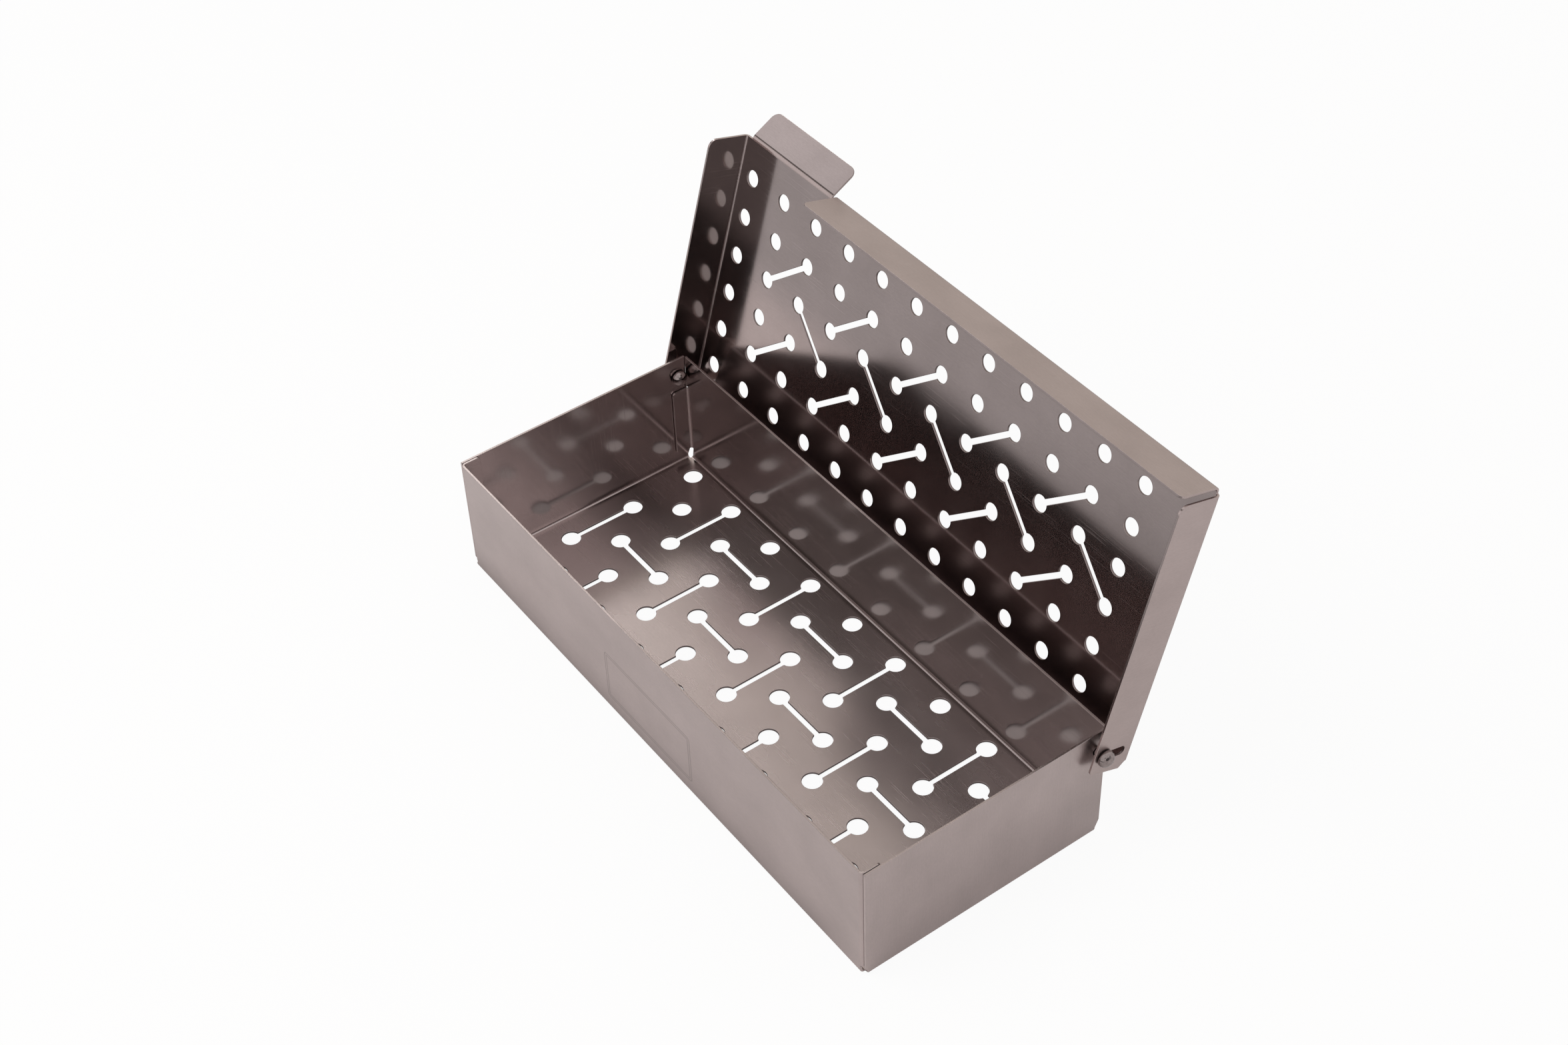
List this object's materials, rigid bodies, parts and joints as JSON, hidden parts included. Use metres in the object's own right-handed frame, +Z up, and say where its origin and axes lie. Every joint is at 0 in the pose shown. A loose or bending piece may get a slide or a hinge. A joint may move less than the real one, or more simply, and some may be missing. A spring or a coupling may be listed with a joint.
{
  "type": "grill smoker box",
  "caption": "Rectangular perforated sheet-steel smoker box with a perforated hinged lid that turns on side rivets and has a bent-up thumb tab.",
  "frame": {"origin": "centre of the flat underside of the tray", "axes": "+X along the box's length, +Y from the front wall to the hinged back wall, +Z up"},
  "size_m": [0.2388, 0.1383, 0.1334],
  "materials": {
    "sheet_steel": "satin stainless sheet with a warm grey reflection",
    "rivet_steel": "polished rivet heads"
  },
  "bodies": {
    "tray": {"tray": "sheet_steel"},
    "rivets": {"rivet_left": "rivet_steel", "rivet_right": "rivet_steel"},
    "lid": {"lid": "sheet_steel"}
  },
  "joints": [
    {"name": "lid_hinge", "type": "hinge", "parent": "tray", "child": "rivets", "pos_m": [0, 0.043, 0.04], "axis": [1, 0, 0], "range_deg": [0, 106]},
    {"name": "lid_slot_slide", "type": "slide", "parent": "rivets", "child": "lid", "axis": [0, -0.9613, 0.2756], "range_m": [0, 0.0033]}
  ],
  "couplings": [
    {"joint": "lid_slot_slide", "follows": "lid_hinge", "m_per_rad": 0.0017835}
  ]
}
